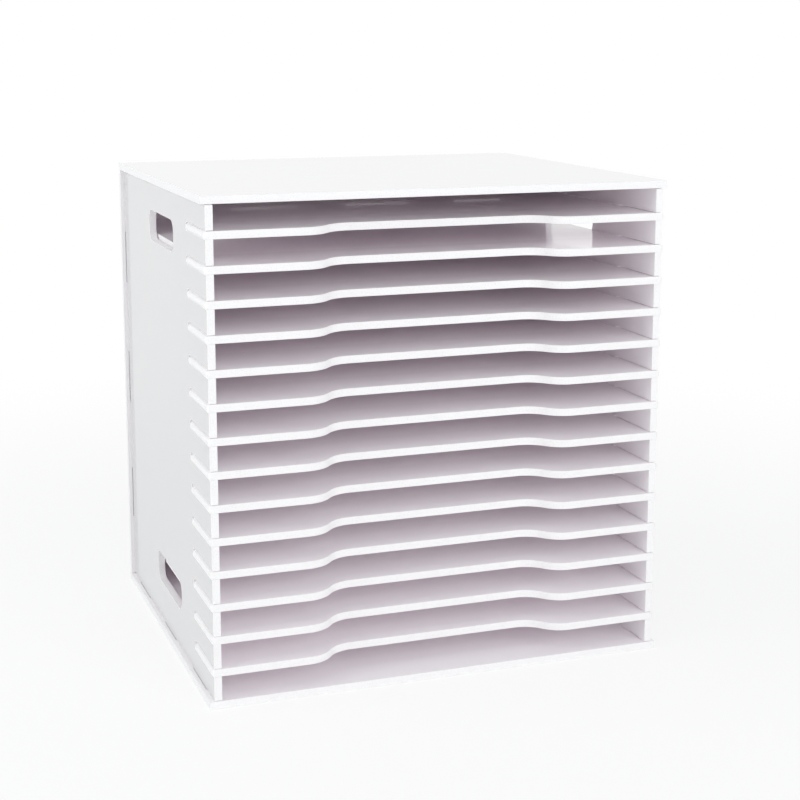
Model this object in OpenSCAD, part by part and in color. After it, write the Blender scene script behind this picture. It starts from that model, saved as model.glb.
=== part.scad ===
// Paper storage rack: an open-front case of white foamed plastic boards with removable shelves.
// X runs across the rack, the open front faces -Y and +Z is up.
// The origin is on the floor, under the middle of the rack.

/* [Rack] */
// Clear width between the side panels
inside_w = 310; // [290:1:360]
// Overall depth, from the open front to the back face
depth = 280; // [240:1:340]
// Clear height of one paper slot
slot_h = 16.9; // [14:0.1:24]
// Thickness of every board
board = 5.2; // [4.5:0.1:7]
// How far the base, top and back stand out past the side panels
overhang = 3; // [2:0.1:8]

/* [Shelves] */
// Length of the shelf ear that lies in the slot of a side panel
ear_len = 53; // [30:1:70]
// How far an ear stands out past the outer face of the side panel
ear_proud = 1.5; // [0.5:0.1:2]
// Radius of the rear corner of an ear
ear_r = 4; // [1:0.5:5]
// Width of the straight middle of the finger notch
notch_flat_w = 122; // [80:1:150]
// Length of the curve at each end of the finger notch
notch_run = 34; // [26:1:50]
// Depth of the finger notch
notch_d = 17; // [8:0.5:19]
// Width of the two tabs on the rear edge of a shelf
rear_tab_w = 40; // [20:1:60]
// Distance from the middle of the rack to the middle of each rear tab
rear_tab_x = 95; // [60:1:110]

/* [Hand holes] */
// Length of a hand hole, front to back
hole_l = 82; // [60:1:100]
// Height of a hand hole
hole_h = 22; // [17:0.5:26]
// Corner radius of a hand hole
hole_r = 8; // [3:0.5:8.4]
// Middle of the upper hand holes, down from the underside of the top
hole_below_top = 31.5; // [16:0.5:60]
// Middle of the lower hand holes, up from the upper face of the base
hole_above_base = 39.5; // [16:0.5:60]

/* [Joinery] */
// Length of a panel tab along the edge of its panel
tab_l = 40; // [20:1:50]
// How far a panel tab reaches into its pocket
tab_reach = 3.2; // [2:0.1:3.5]
// Distance from the middle of a panel to its outer tabs
tab_spread = 95; // [70:1:100]
// Hairline seam that the tabs leave along the edges of the side and back panels
seam = 0.5; // [0.2:0.1:0.8]
// Clearance round a tab in its pocket or slot
tab_clear = 0.15; // [0.1:0.05:0.3]
// Clearance over a shelf in the slots that hold it
slot_clear = 0.4; // [0.3:0.1:1]
// Clearance between a shelf and the panels round it
shelf_clear = 0.8; // [0.3:0.1:1.2]

/* [Hidden] */
NODES = [
    "base_panel", "top_panel", "left_side_panel", "right_side_panel", "back_panel",
    "shelf_01", "shelf_02", "shelf_03", "shelf_04", "shelf_05", "shelf_06", "shelf_07",
    "shelf_08", "shelf_09", "shelf_10", "shelf_11", "shelf_12", "shelf_13", "shelf_14"
];
$fn = 48;

// The node names give one shelf each, counted from the top down
case_panels = 5;
shelf_count = len(NODES) - case_panels;

// Outline of the case
rack_w = inside_w + 2 * (board + overhang);
panel_h = shelf_count * board + (shelf_count + 1) * slot_h;
rack_h = panel_h + 2 * board;
front_y = -depth / 2;
back_y = depth / 2 - board;
side_d = depth - board;
side_x = inside_w / 2;
side_mid_y = front_y + side_d / 2;
panel_mid_z = rack_h / 2;

// Tabs sit in the middle of an edge and at equal distances on both sides of it
tab_places = [-tab_spread, 0, tab_spread];

// Slots for the shelves, and the arcs of the finger notch
ear_slot_h = board + slot_clear;
notch_w = notch_flat_w + 2 * notch_run;
notch_r = (notch_run ^ 2 + notch_d ^ 2) / (4 * notch_d);
notch_turn = asin(notch_run / 2 / notch_r);
arc_steps = 12;
quarter_turn = 90;
// The curves stop just before they meet, and a straight line joins them
curve_turn = notch_turn * (1 - 1 / arc_steps);

// Cuts run this far past the face that they open
cut = 1;
board_white = "white";

// Underside of shelf i
function shelf_z(i) = board + (shelf_count + 1 - i) * slot_h + (shelf_count - i) * board;

// Box between two opposite corners
module span(from, to) {
    translate(from)
        cube(to - from);
}

// Tabs of the side panels, standing upwards from z_low to z_high; grown is the play round each
module side_tabs(x, z_low, z_high, grown) {
    for (place = tab_places)
        span([x - grown, side_mid_y + place - tab_l / 2 - grown, z_low],
             [x + board + grown, side_mid_y + place + tab_l / 2 + grown, z_high]);
}

// Tabs of the back panel, standing upwards from z_low to z_high; past runs out of the rear edge
module back_tabs(z_low, z_high, grown, past) {
    for (place = tab_places)
        span([place - tab_l / 2 - grown, back_y - grown, z_low],
             [place + tab_l / 2 + grown, back_y + board + past, z_high]);
}

// Tabs on the rear edge of a side panel, from y_start to y_end
module side_rear_tabs(x, y_start, y_end, grown) {
    for (place = tab_places)
        span([x - grown, y_start, panel_mid_z + place - tab_l / 2 - grown],
             [x + board + grown, y_end, panel_mid_z + place + tab_l / 2 + grown]);
}

// Plain board under or over the case
module flat_panel(z) {
    span([-rack_w / 2, front_y, z], [rack_w / 2, depth / 2, z + board]);
}

// Everything that the uprights push into the base or the top
module upright_pockets(z_low, z_high) {
    side_tabs(-side_x - board, z_low, z_high, tab_clear);
    side_tabs(side_x, z_low, z_high, tab_clear);
    back_tabs(z_low, z_high, tab_clear, cut);
}

module base_panel() {
    color(board_white)
        difference() {
            flat_panel(0);
            upright_pockets(board - tab_reach, board + cut);
        }
}

module top_panel() {
    color(board_white)
        difference() {
            flat_panel(rack_h - board);
            upright_pockets(rack_h - board - cut, rack_h - board + tab_reach);
        }
}

// Rounded rectangle in the side panel, for lifting the rack
module hand_hole(x, z) {
    translate([x - cut, side_mid_y, z])
        rotate([90, 0, 90])
            linear_extrude(board + 2 * cut)
                union() {
                    square([hole_l, hole_h - 2 * hole_r], center = true);
                    square([hole_l - 2 * hole_r, hole_h], center = true);
                    for (sx = [-1, 1], sy = [-1, 1])
                        translate([sx * (hole_l / 2 - hole_r), sy * (hole_h / 2 - hole_r)])
                            circle(hole_r);
                }
}

// Slot with a round end, open at the front edge of the side panel
module ear_slot(x, z) {
    end_y = front_y + ear_len + tab_clear;
    span([x - cut, front_y - cut, z], [x + board + cut, end_y, z + ear_slot_h]);
    translate([x - cut, end_y, z + ear_slot_h / 2])
        rotate([0, 90, 0])
            cylinder(h = board + 2 * cut, d = ear_slot_h);
}

module side_panel(x) {
    color(board_white)
        difference() {
            union() {
                span([x, front_y, board + seam], [x + board, back_y - seam, rack_h - board - seam]);
                side_tabs(x, board - tab_reach, rack_h - board + tab_reach, 0);
                side_rear_tabs(x, back_y - board, back_y + tab_reach, 0);
            }
            for (i = [1:shelf_count])
                ear_slot(x, shelf_z(i));
            hand_hole(x, rack_h - board - hole_below_top);
            hand_hole(x, board + hole_above_base);
        }
}

module left_side_panel() {
    side_panel(-side_x - board);
}

module right_side_panel() {
    side_panel(side_x);
}

module back_panel() {
    color(board_white)
        difference() {
            union() {
                span([-rack_w / 2, back_y, board + seam], [rack_w / 2, depth / 2, rack_h - board - seam]);
                back_tabs(board - tab_reach, rack_h - board + tab_reach, 0, 0);
            }
            for (x = [-side_x - board, side_x])
                side_rear_tabs(x, back_y - cut, back_y + tab_reach, tab_clear);
            for (i = [1:shelf_count], sx = [-1, 1])
                span([sx * rear_tab_x - rear_tab_w / 2 - tab_clear, back_y - cut, shelf_z(i)],
                     [sx * rear_tab_x + rear_tab_w / 2 + tab_clear, depth / 2 + cut,
                      shelf_z(i) + ear_slot_h]);
        }
}

// Points on an arc about a centre, between two angles from its crown; a radius below 0 turns it over
function arc(centre, radius, from, to) =
    [for (step = [0:arc_steps]) let (a = from + (to - from) * step / arc_steps)
        centre + radius * [sin(a), cos(a)]];

// The same outline on the other side of the Y axis, in reverse order
function mirrored(points) = [for (i = [len(points) - 1:-1:0]) [-points[i].x, points[i].y]];

// Right half of a shelf, with its front edge on the X axis, from the finger notch round to the rear
ear_x = side_x + board + ear_proud;
shelf_x = side_x - shelf_clear;
shelf_d = side_d - shelf_clear;
shelf_half = concat(
    arc([notch_flat_w / 2, notch_d - notch_r], notch_r, 0, curve_turn),
    arc([notch_w / 2, notch_r], -notch_r, curve_turn, 0),
    [[ear_x, 0]],
    arc([ear_x - ear_r, ear_len - ear_r], ear_r, quarter_turn, 0),
    [
        [shelf_x, ear_len], [shelf_x, shelf_d],
        [rear_tab_x + rear_tab_w / 2, shelf_d], [rear_tab_x + rear_tab_w / 2, depth],
        [rear_tab_x - rear_tab_w / 2, depth], [rear_tab_x - rear_tab_w / 2, shelf_d]
    ]
);

module shelf(i) {
    color(board_white)
        translate([0, front_y, shelf_z(i)])
            linear_extrude(board)
                polygon(concat(shelf_half, mirrored(shelf_half)));
}

base_panel();
top_panel();
left_side_panel();
right_side_panel();
back_panel();
for (i = [1:shelf_count])
    shelf(i);
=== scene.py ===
"""Dresses the paper storage rack: foam boards with eased edges, a pale studio and the camera."""

import math

import bmesh
import bpy
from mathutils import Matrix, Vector


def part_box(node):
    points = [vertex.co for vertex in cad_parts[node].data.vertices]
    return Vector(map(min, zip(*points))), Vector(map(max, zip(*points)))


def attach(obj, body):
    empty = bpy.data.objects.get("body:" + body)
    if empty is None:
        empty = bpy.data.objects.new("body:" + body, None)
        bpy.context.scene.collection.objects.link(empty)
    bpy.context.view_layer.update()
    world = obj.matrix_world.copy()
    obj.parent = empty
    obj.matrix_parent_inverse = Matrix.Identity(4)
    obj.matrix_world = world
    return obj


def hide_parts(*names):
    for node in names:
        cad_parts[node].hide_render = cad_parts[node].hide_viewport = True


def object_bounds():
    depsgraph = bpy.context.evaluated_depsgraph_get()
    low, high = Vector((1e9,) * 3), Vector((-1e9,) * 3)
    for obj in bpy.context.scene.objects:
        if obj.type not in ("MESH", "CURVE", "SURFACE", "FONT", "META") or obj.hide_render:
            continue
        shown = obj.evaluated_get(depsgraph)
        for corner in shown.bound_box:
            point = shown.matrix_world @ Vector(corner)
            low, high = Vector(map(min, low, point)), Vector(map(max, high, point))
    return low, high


bl_info = {
    "name": "Paper storage rack",
    "version": (1, 0, 0),
    "blender": (4, 5, 0),
    "location": "View3D > Sidebar > Rack",
    "description": "Builds the boards of a paper storage rack and a pale studio round it",
    "category": "Object",
}

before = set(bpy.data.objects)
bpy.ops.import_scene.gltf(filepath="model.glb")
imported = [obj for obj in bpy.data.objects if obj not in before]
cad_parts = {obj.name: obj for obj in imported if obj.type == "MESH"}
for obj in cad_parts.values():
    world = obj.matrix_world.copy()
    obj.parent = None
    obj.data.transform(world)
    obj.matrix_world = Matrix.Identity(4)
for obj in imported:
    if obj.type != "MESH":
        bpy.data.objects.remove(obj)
CAD_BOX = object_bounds()

MM = 0.001

# Each board's thickness runs along one axis
ACROSS, DEEP, UPRIGHT = Vector((1, 0, 0)), Vector((0, 1, 0)), Vector((0, 0, 1))
CASE_PANELS = {
    "base_panel": UPRIGHT,
    "top_panel": UPRIGHT,
    "left_side_panel": ACROSS,
    "right_side_panel": ACROSS,
    "back_panel": DEEP,
}
SHELVES = sorted(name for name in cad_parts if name.startswith("shelf_"))


def linear_colour(hex_code):
    """A colour picked as sRGB hex, as linear red, green and blue."""
    parts = [int(hex_code[i : i + 2], 16) / 255 for i in (0, 2, 4)]
    return [c / 12.92 if c <= 0.04045 else ((c + 0.055) / 1.055) ** 2.4 for c in parts]


class RackBoards(bpy.types.PropertyGroup):
    """Finish of the boards."""

    edge_radius: bpy.props.FloatProperty(
        name="Edge radius",
        description="How far the sharp edges of the boards are eased",
        default=0.3 * MM,
        min=0.0,
        subtype="DISTANCE",
        unit="LENGTH",
    )
    ear_radius: bpy.props.FloatProperty(
        name="Ear radius",
        description="How far the end of a shelf ear is rounded where it stands out of the side panel",
        default=2.3 * MM,
        min=0.0,
        subtype="DISTANCE",
        unit="LENGTH",
    )
    skin_colour: bpy.props.FloatVectorProperty(
        name="Skin colour",
        description="Colour of the smooth faces of a board",
        default=linear_colour("FEFBFD"),
        subtype="COLOR",
        min=0.0,
        max=1.0,
    )
    skin_shade: bpy.props.FloatVectorProperty(
        name="Skin shade",
        description="Colour of the faint clouds in the skin",
        default=linear_colour("FCF9FB"),
        subtype="COLOR",
        min=0.0,
        max=1.0,
    )
    # Painted shade: the side panels are the same white board as the rest, and their outer faces are
    # drawn greyer to stand in for the shade on those faces
    side_painted_shade_colour: bpy.props.FloatVectorProperty(
        name="Side panel colour",
        description="Colour of the outer faces of the side panels, greyer than the rest as painted shade",
        default=linear_colour("DDDBDB"),
        subtype="COLOR",
        min=0.0,
        max=1.0,
    )
    # Painted shade as well: the clouds on the outer faces of the side panels are drawn greyer
    side_painted_shade_clouds: bpy.props.FloatVectorProperty(
        name="Side panel shade",
        description="Colour of the faint clouds in the outer faces of the side panels",
        default=linear_colour("DAD9DD"),
        subtype="COLOR",
        min=0.0,
        max=1.0,
    )
    edge_colour: bpy.props.FloatVectorProperty(
        name="Cut edge colour",
        description="Colour of the cut edges, where the foam shows",
        default=linear_colour("FBF9FA"),
        subtype="COLOR",
        min=0.0,
        max=1.0,
    )
    # Painted shade: the open cells are the same white foam, drawn darker for the shade inside them
    pore_painted_shade: bpy.props.FloatVectorProperty(
        name="Pore colour",
        description="Colour in the open cells of a cut edge",
        default=linear_colour("E4E0E2"),
        subtype="COLOR",
        min=0.0,
        max=1.0,
    )


class RackStudio(bpy.types.PropertyGroup):
    """Camera, lamps and floor."""

    eye: bpy.props.FloatVectorProperty(
        name="Camera place",
        description="Where the camera stands",
        default=(-0.3871, -1.1289, 0.4359),
        subtype="TRANSLATION",
        unit="LENGTH",
    )
    azimuth: bpy.props.FloatProperty(
        name="Camera azimuth",
        description="How far the camera stands to the left of the front",
        default=math.radians(19.78),
        subtype="ANGLE",
    )
    elevation: bpy.props.FloatProperty(
        name="Camera elevation",
        description="How far the camera looks down",
        default=math.radians(9.97),
        subtype="ANGLE",
    )
    lens: bpy.props.FloatProperty(
        name="Lens",
        description="Focal length in millimetres on a 36 mm wide sensor",
        default=73.42,
    )
    rise: bpy.props.FloatProperty(
        name="Lens rise",
        description="Vertical lens shift, as a share of the picture's width",
        default=-0.1,
    )
    floor_colour: bpy.props.FloatVectorProperty(
        name="Floor colour",
        description="Colour of the studio floor",
        default=linear_colour("F6F6F6"),
        subtype="COLOR",
        min=0.0,
        max=1.0,
    )
    sky_colour: bpy.props.FloatVectorProperty(
        name="Surrounding light",
        description="Colour of the light from all round",
        default=linear_colour("FAFDFF"),
        subtype="COLOR",
        min=0.0,
        max=1.0,
    )
    sky_strength: bpy.props.FloatProperty(
        name="Surrounding light strength",
        description="Strength of the light from all round",
        default=0.6,
        min=0.0,
    )
    lamp_colour: bpy.props.FloatVectorProperty(
        name="Lamp colour",
        description="Colour of the softboxes",
        default=linear_colour("FCFFFD"),
        subtype="COLOR",
        min=0.0,
        max=1.0,
    )
    key_power: bpy.props.FloatProperty(
        name="Key light",
        description="Power of the softbox high in front of the rack",
        default=2.2,
        min=0.0,
        unit="POWER",
    )
    fill_power: bpy.props.FloatProperty(
        name="Front light",
        description="Power of the large panel in front of the rack, on its right",
        default=26.4,
        min=0.0,
        unit="POWER",
    )
    side_power: bpy.props.FloatProperty(
        name="Side light",
        description="Power of the softbox beside the left panel",
        default=8.5,
        min=0.0,
        unit="POWER",
    )
    rear_power: bpy.props.FloatProperty(
        name="Rear light",
        description="Power of the softbox behind the rack, on its right",
        default=3.0,
        min=0.0,
        unit="POWER",
    )


def add_node(tree, kind, inputs=None, **settings):
    """Adds a shader node, sets its options and fills or links its inputs."""
    node = tree.nodes.new(kind)
    for name, value in settings.items():
        setattr(node, name, value)
    for socket, value in (inputs or {}).items():
        if isinstance(value, bpy.types.NodeSocket):
            tree.links.new(value, node.inputs[socket])
        else:
            node.inputs[socket].default_value = value
    return node


def new_material(name):
    """An empty node material with its output node."""
    material = bpy.data.materials.new(name)
    material.use_nodes = True
    tree = material.node_tree
    tree.nodes.clear()
    return material, tree, add_node(tree, "ShaderNodeOutputMaterial")


def per_mm(size):
    """Texture scale that gives features of this size in millimetres."""
    return 1 / (size * MM)


# Refractive index of rigid PVC
PVC_IOR = 1.53
# Sizes of the patterns in a board, in millimetres
CLOUD_SIZE, HANDLING_SIZE, PEEL_SIZE = 90, 25, 7
# Real foam cells are about 0.2 mm across; they are drawn coarser so that they show
CELL_SIZE = 0.9


def foam_board_skin(name, colour, shade):
    """Expanded PVC foam board, calendered skin: glossy, with clouds and a faint waviness."""
    material, tree, output = new_material(name)
    place = add_node(tree, "ShaderNodeTexCoord").outputs["Object"]
    clouds = add_node(
        tree,
        "ShaderNodeTexNoise",
        {"Vector": place, "Scale": per_mm(CLOUD_SIZE), "Detail": 3.0, "Roughness": 0.55},
    )
    tone = add_node(
        tree,
        "ShaderNodeMix",
        {
            "Factor": clouds.outputs["Fac"],
            "A": (*colour, 1),
            "B": (*shade, 1),
        },
        data_type="RGBA",
    )
    handling = add_node(
        tree,
        "ShaderNodeTexNoise",
        {"Vector": place, "Scale": per_mm(HANDLING_SIZE), "Detail": 4.0, "Roughness": 0.6},
    )
    gloss = add_node(
        tree,
        "ShaderNodeMapRange",
        {
            "Value": handling.outputs["Fac"],
            "From Min": 0.3,
            "From Max": 0.7,
            "To Min": 0.04,
            "To Max": 0.08,
        },
    )
    peel = add_node(
        tree,
        "ShaderNodeTexNoise",
        {"Vector": place, "Scale": per_mm(PEEL_SIZE), "Detail": 1.0},
    )
    bump = add_node(
        tree,
        "ShaderNodeBump",
        {"Height": peel.outputs["Fac"], "Strength": 0.02, "Distance": 0.3 * MM},
    )
    skin = add_node(
        tree,
        "ShaderNodeBsdfPrincipled",
        {
            "Base Color": tone.outputs["Result"],
            "Roughness": gloss.outputs["Result"],
            "IOR": PVC_IOR,
            "Normal": bump.outputs["Normal"],
        },
    )
    tree.links.new(skin.outputs["BSDF"], output.inputs["Surface"])
    return material


def foam_board_edge(name):
    """Expanded PVC foam board, routed edge: matt, with the open cells of the foam, darkened as
    painted shade.
    """
    boards = bpy.context.scene.rack_boards
    material, tree, output = new_material(name)
    place = add_node(tree, "ShaderNodeTexCoord").outputs["Object"]
    cells = add_node(
        tree,
        "ShaderNodeTexVoronoi",
        {"Vector": place, "Scale": per_mm(CELL_SIZE), "Randomness": 1.0},
    )
    pores = add_node(
        tree,
        "ShaderNodeMapRange",
        {
            "Value": cells.outputs["Distance"],
            "From Min": 0.08,
            "From Max": 0.3,
            "To Min": 0.0,
            "To Max": 1.0,
        },
    )
    # The open cells are darkened with painted shade
    colour = add_node(
        tree,
        "ShaderNodeMix",
        {
            "Factor": pores.outputs["Result"],
            "A": (*boards.pore_painted_shade, 1),
            "B": (*boards.edge_colour, 1),
        },
        data_type="RGBA",
    )
    bump = add_node(
        tree,
        "ShaderNodeBump",
        {"Height": pores.outputs["Result"], "Strength": 0.12, "Distance": 0.15 * MM},
    )
    edge = add_node(
        tree,
        "ShaderNodeBsdfPrincipled",
        {
            "Base Color": colour.outputs["Result"],
            "Roughness": 0.58,
            "IOR": PVC_IOR,
            "Normal": bump.outputs["Normal"],
        },
    )
    tree.links.new(edge.outputs["BSDF"], output.inputs["Surface"])
    return material


# Order of the materials on a board
SKIN, EDGE, SHADED_OUTSIDE = range(3)
SKIN_NAME = "expanded_pvc_board_skin"
EDGE_NAME = "expanded_pvc_board_routed_edge"
# The outer skin of the side panels is the board skin drawn greyer, as painted shade
SHADED_OUTSIDE_NAME = "expanded_pvc_outer_skin_painted_shade"


def board_materials(outside):
    """Skin, routed edge and, if asked for, the outer skin of a side panel, drawn greyer as painted
    shade, each made only once.
    """
    boards = bpy.context.scene.rack_boards
    made = bpy.data.materials
    materials = [
        made.get(SKIN_NAME) or foam_board_skin(SKIN_NAME, boards.skin_colour, boards.skin_shade),
        made.get(EDGE_NAME) or foam_board_edge(EDGE_NAME),
    ]
    if outside:
        materials.append(
            made.get(SHADED_OUTSIDE_NAME)
            or foam_board_skin(SHADED_OUTSIDE_NAME, boards.side_painted_shade_colour, boards.side_painted_shade_clouds)
        )
    return materials


# Corners of the solid's loose triangles that lie closer than this are one
MERGE_WITHIN = 0.001 * MM
# Triangles that turn less than this from one another make one flat face
FLAT_ENOUGH = math.radians(0.5)
# Edges that turn more than this are eased, and keep their line in the shading
SHARP = math.radians(40)
# Faces whose normal is this much along the thickness are skin, and the others are cut edges
FACE_ON = 0.999
# How much of an ear is rounded, from its end; the round rear corner of the solid lies inside it
EAR_CORNER = 4.1 * MM
EAR_SEGMENTS, EDGE_SEGMENTS = 6, 2


def round_edges(bm, radius, segments, beyond=0.0):
    """Rounds the outer sharp edges of a board, or only those further than this from the middle."""
    sharp = [
        e
        for e in bm.edges
        if e.is_manifold
        and e.is_convex
        and e.calc_face_angle() > SHARP
        and min(abs(v.co.x) for v in e.verts) >= beyond
    ]
    bmesh.ops.bevel(
        bm,
        geom=sharp,
        offset=radius,
        offset_type="OFFSET",
        affect="EDGES",
        segments=segments,
        profile=0.5,
        material=-1,
        clamp_overlap=False,
    )


def add_board(node, body, thickness, ears_from=None):
    """One board: the solid's flat faces become single faces, and its edges are eased."""
    boards = bpy.context.scene.rack_boards
    outside = node.endswith("side_panel")
    bm = bmesh.new()
    bm.from_mesh(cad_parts[node].data)
    bmesh.ops.remove_doubles(bm, verts=bm.verts, dist=MERGE_WITHIN)
    bmesh.ops.dissolve_limit(bm, angle_limit=FLAT_ENOUGH, verts=bm.verts, edges=bm.edges)
    if ears_from is not None:
        round_edges(bm, boards.ear_radius, EAR_SEGMENTS, ears_from)
    round_edges(bm, boards.edge_radius, EDGE_SEGMENTS)
    for face in bm.faces:
        face.smooth = True
        if abs(face.normal.dot(thickness)) < FACE_ON:
            face.material_index = EDGE
        # Outer faces of the side panels take the greyer skin, which paints their shade
        elif outside and face.normal.x * face.calc_center_median().x > 0:
            face.material_index = SHADED_OUTSIDE
        else:
            face.material_index = SKIN
    for edge in bm.edges:
        edge.smooth = edge.is_manifold and edge.calc_face_angle() < SHARP
    mesh = bpy.data.meshes.new(f"{node}_board")
    bm.to_mesh(mesh)
    bm.free()
    for material in board_materials(outside):
        mesh.materials.append(material)
    piece = bpy.data.objects.new(f"{node}_board", mesh)
    bpy.context.scene.collection.objects.link(piece)
    flat = piece.modifiers.new("Flat faces", "WEIGHTED_NORMAL")
    flat.keep_sharp = True
    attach(piece, body)
    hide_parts(node)


class RACK_OT_case_panels(bpy.types.Operator):
    """Builds the base, the top, the side panels and the back."""

    bl_idname = "rack.case_panels"
    bl_label = "Case panels"

    def execute(self, context):
        for node, thickness in CASE_PANELS.items():
            add_board(node, "case", thickness)
        return {"FINISHED"}


class RACK_OT_shelves(bpy.types.Operator):
    """Builds the removable shelves."""

    bl_idname = "rack.shelves"
    bl_label = "Shelves"

    def execute(self, context):
        for node in SHELVES:
            ear_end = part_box(node)[1].x
            add_board(node, node, UPRIGHT, ears_from=ear_end - EAR_CORNER)
        return {"FINISHED"}


# A strength of 1 shows as plain white
WHITE, WHITE_STRENGTH = (1, 1, 1, 1), 1.0
# Beside the rack the floor still shows a soft shadow; a metre away it is plain white
SHADOW_NEAR, SHADOW_FAR = 0.25, 1.0
NEAR_SHARE, FAR_SHARE = 0.78, 1.0


def seen_or_mirrored(tree):
    """1 for rays from the camera and for what shines or shows through, 0 for the light itself."""
    rays = add_node(tree, "ShaderNodeLightPath").outputs
    mirrored = add_node(
        tree,
        "ShaderNodeMath",
        {0: rays["Is Glossy Ray"], 1: rays["Is Transmission Ray"]},
        operation="MAXIMUM",
    )
    return add_node(
        tree,
        "ShaderNodeMath",
        {0: rays["Is Camera Ray"], 1: mirrored.outputs[0]},
        operation="MAXIMUM",
    ).outputs[0]


def studio_floor_paint():
    """Matt white floor paint, washed out by light towards the camera as a seamless backdrop is."""
    studio = bpy.context.scene.rack_studio
    material, tree, output = new_material("matt_white_floor")
    paint = add_node(
        tree,
        "ShaderNodeBsdfDiffuse",
        {"Color": (*studio.floor_colour, 1)},
    )
    glow = add_node(tree, "ShaderNodeEmission", {"Color": WHITE, "Strength": WHITE_STRENGTH})
    place = add_node(tree, "ShaderNodeTexCoord").outputs["Object"]
    reach = add_node(tree, "ShaderNodeVectorMath", {0: place}, operation="LENGTH")
    fade = add_node(
        tree,
        "ShaderNodeMapRange",
        {
            "Value": reach.outputs["Value"],
            "From Min": SHADOW_NEAR,
            "From Max": SHADOW_FAR,
            "To Min": NEAR_SHARE,
            "To Max": FAR_SHARE,
        },
        interpolation_type="SMOOTHSTEP",
    )
    share = add_node(
        tree,
        "ShaderNodeMath",
        {0: seen_or_mirrored(tree), 1: fade.outputs["Result"]},
        operation="MULTIPLY",
    )
    mix = add_node(
        tree,
        "ShaderNodeMixShader",
        {0: share.outputs[0], 1: paint.outputs["BSDF"], 2: glow.outputs["Emission"]},
    )
    tree.links.new(mix.outputs["Shader"], output.inputs["Surface"])
    return material


def add_floor():
    """A wide floor just under the rack."""
    floor_half, floor_drop = 15.0, 0.05 * MM
    bm = bmesh.new()
    bmesh.ops.create_grid(bm, x_segments=1, y_segments=1, size=floor_half)
    bmesh.ops.translate(bm, verts=bm.verts, vec=(0, 0, -floor_drop))
    mesh = bpy.data.meshes.new("studio_floor")
    bm.to_mesh(mesh)
    bm.free()
    mesh.materials.append(studio_floor_paint())
    floor = bpy.data.objects.new("studio_floor", mesh)
    bpy.context.scene.collection.objects.link(floor)


def add_surroundings():
    """Even light from all round, white where the camera or a reflection sees it."""
    studio = bpy.context.scene.rack_studio
    world = bpy.data.worlds.new("studio_surroundings")
    world.use_nodes = True
    bpy.context.scene.world = world
    tree = world.node_tree
    tree.nodes.clear()
    light = add_node(
        tree,
        "ShaderNodeBackground",
        {"Color": (*studio.sky_colour, 1), "Strength": studio.sky_strength},
    )
    white = add_node(tree, "ShaderNodeBackground", {"Color": WHITE, "Strength": WHITE_STRENGTH})
    mix = add_node(
        tree,
        "ShaderNodeMixShader",
        {0: seen_or_mirrored(tree), 1: light.outputs[0], 2: white.outputs[0]},
    )
    add_node(tree, "ShaderNodeOutputWorld", {"Surface": mix.outputs["Shader"]})


# Where each lamp stands, from the spot that it lights, and how wide it is, in metres
KEY_REACH, KEY_RISE = 1.6, math.radians(63)
KEY_STEP = Vector((-0.4, -KEY_REACH * math.cos(KEY_RISE), KEY_REACH * math.sin(KEY_RISE)))
FRONT_STEP = Vector((0.7, -2.6, 0.9))
LEFT_STEP = Vector((-1.35, -0.1, 0.7))
REAR_STEP = Vector((1.1, 1.5, 0.7))
KEY_WIDTH, FRONT_WIDTH, LEFT_WIDTH, REAR_WIDTH = 0.6, 2.1, 1.4, 2.0


def add_softbox(name, spot, step, width, power):
    """A square area lamp, one step away from the spot that it points at."""
    lamp = bpy.data.lights.new(name, "AREA")
    lamp.energy = power
    lamp.color = bpy.context.scene.rack_studio.lamp_colour
    lamp.size = width
    softbox = bpy.data.objects.new(name, lamp)
    # Glossy boards mirror only the white surroundings, with no hot spots
    softbox.visible_glossy = False
    softbox.location = spot + step
    softbox.rotation_euler = (-step).to_track_quat("-Z", "Y").to_euler()
    bpy.context.scene.collection.objects.link(softbox)


SENSOR_WIDTH = 36.0


def add_camera():
    """The camera, left of the front and a little above the rack."""
    studio = bpy.context.scene.rack_studio
    data = bpy.data.cameras.new("camera")
    data.sensor_width = SENSOR_WIDTH
    data.lens = studio.lens
    data.shift_y = studio.rise
    camera = bpy.data.objects.new("camera", data)
    camera.location = studio.eye
    level = math.cos(studio.elevation)
    ahead = Vector(
        (
            math.sin(studio.azimuth) * level,
            math.cos(studio.azimuth) * level,
            -math.sin(studio.elevation),
        )
    )
    camera.rotation_euler = ahead.to_track_quat("-Z", "Y").to_euler()
    bpy.context.scene.collection.objects.link(camera)
    bpy.context.scene.camera = camera


# Deep white slots need more than the usual number of bounces
SLOT_BOUNCES = 64


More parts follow.
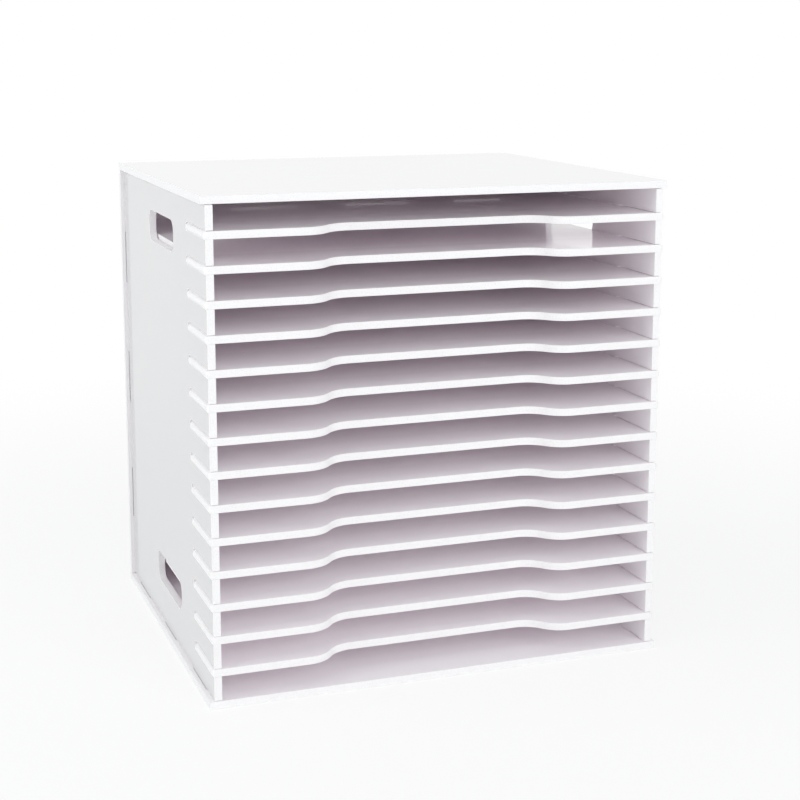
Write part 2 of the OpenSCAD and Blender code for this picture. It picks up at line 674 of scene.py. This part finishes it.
class RACK_OT_studio(bpy.types.Operator):
    """Sets up the floor, the lamps, the surroundings and the camera."""

    bl_idname = "rack.studio"
    bl_label = "Studio"

    def execute(self, context):
        studio = context.scene.rack_studio
        low, high = CAD_BOX
        middle = (low + high) / 2
        front = Vector((middle.x, low.y, middle.z))
        left = Vector((low.x, middle.y, middle.z))
        add_floor()
        add_surroundings()
        add_softbox("key_softbox", front, KEY_STEP, KEY_WIDTH, studio.key_power)
        add_softbox("front_panel", front, FRONT_STEP, FRONT_WIDTH, studio.fill_power)
        add_softbox("left_softbox", left, LEFT_STEP, LEFT_WIDTH, studio.side_power)
        add_softbox("rear_softbox", middle, REAR_STEP, REAR_WIDTH, studio.rear_power)
        add_camera()
        context.scene.view_settings.view_transform = "Standard"
        context.scene.cycles.max_bounces = SLOT_BOUNCES
        context.scene.cycles.diffuse_bounces = SLOT_BOUNCES
        return {"FINISHED"}


class RACK_PT_sidebar(bpy.types.Panel):
    """Shows the buttons that build the rack and its studio, with their settings."""

    bl_label = "Paper storage rack"
    bl_idname = "RACK_PT_sidebar"
    bl_space_type = "VIEW_3D"
    bl_region_type = "UI"
    bl_category = "Rack"

    def draw(self, context):
        layout = self.layout
        for operator in OPERATORS:
            layout.operator(operator.bl_idname)
        for group in (context.scene.rack_boards, context.scene.rack_studio):
            for name in group.__annotations__:
                layout.prop(group, name)


OPERATORS = (RACK_OT_case_panels, RACK_OT_shelves, RACK_OT_studio)
CLASSES = (RackBoards, RackStudio, *OPERATORS, RACK_PT_sidebar)


def register():
    for cls in CLASSES:
        bpy.utils.register_class(cls)
    bpy.types.Scene.rack_boards = bpy.props.PointerProperty(type=RackBoards)
    bpy.types.Scene.rack_studio = bpy.props.PointerProperty(type=RackStudio)


def unregister():
    del bpy.types.Scene.rack_studio
    del bpy.types.Scene.rack_boards
    for cls in reversed(CLASSES):
        bpy.utils.unregister_class(cls)


def main():
    register()
    bpy.ops.rack.case_panels()
    bpy.ops.rack.shelves()
    bpy.ops.rack.studio()


if __name__ == "__main__":
    main()
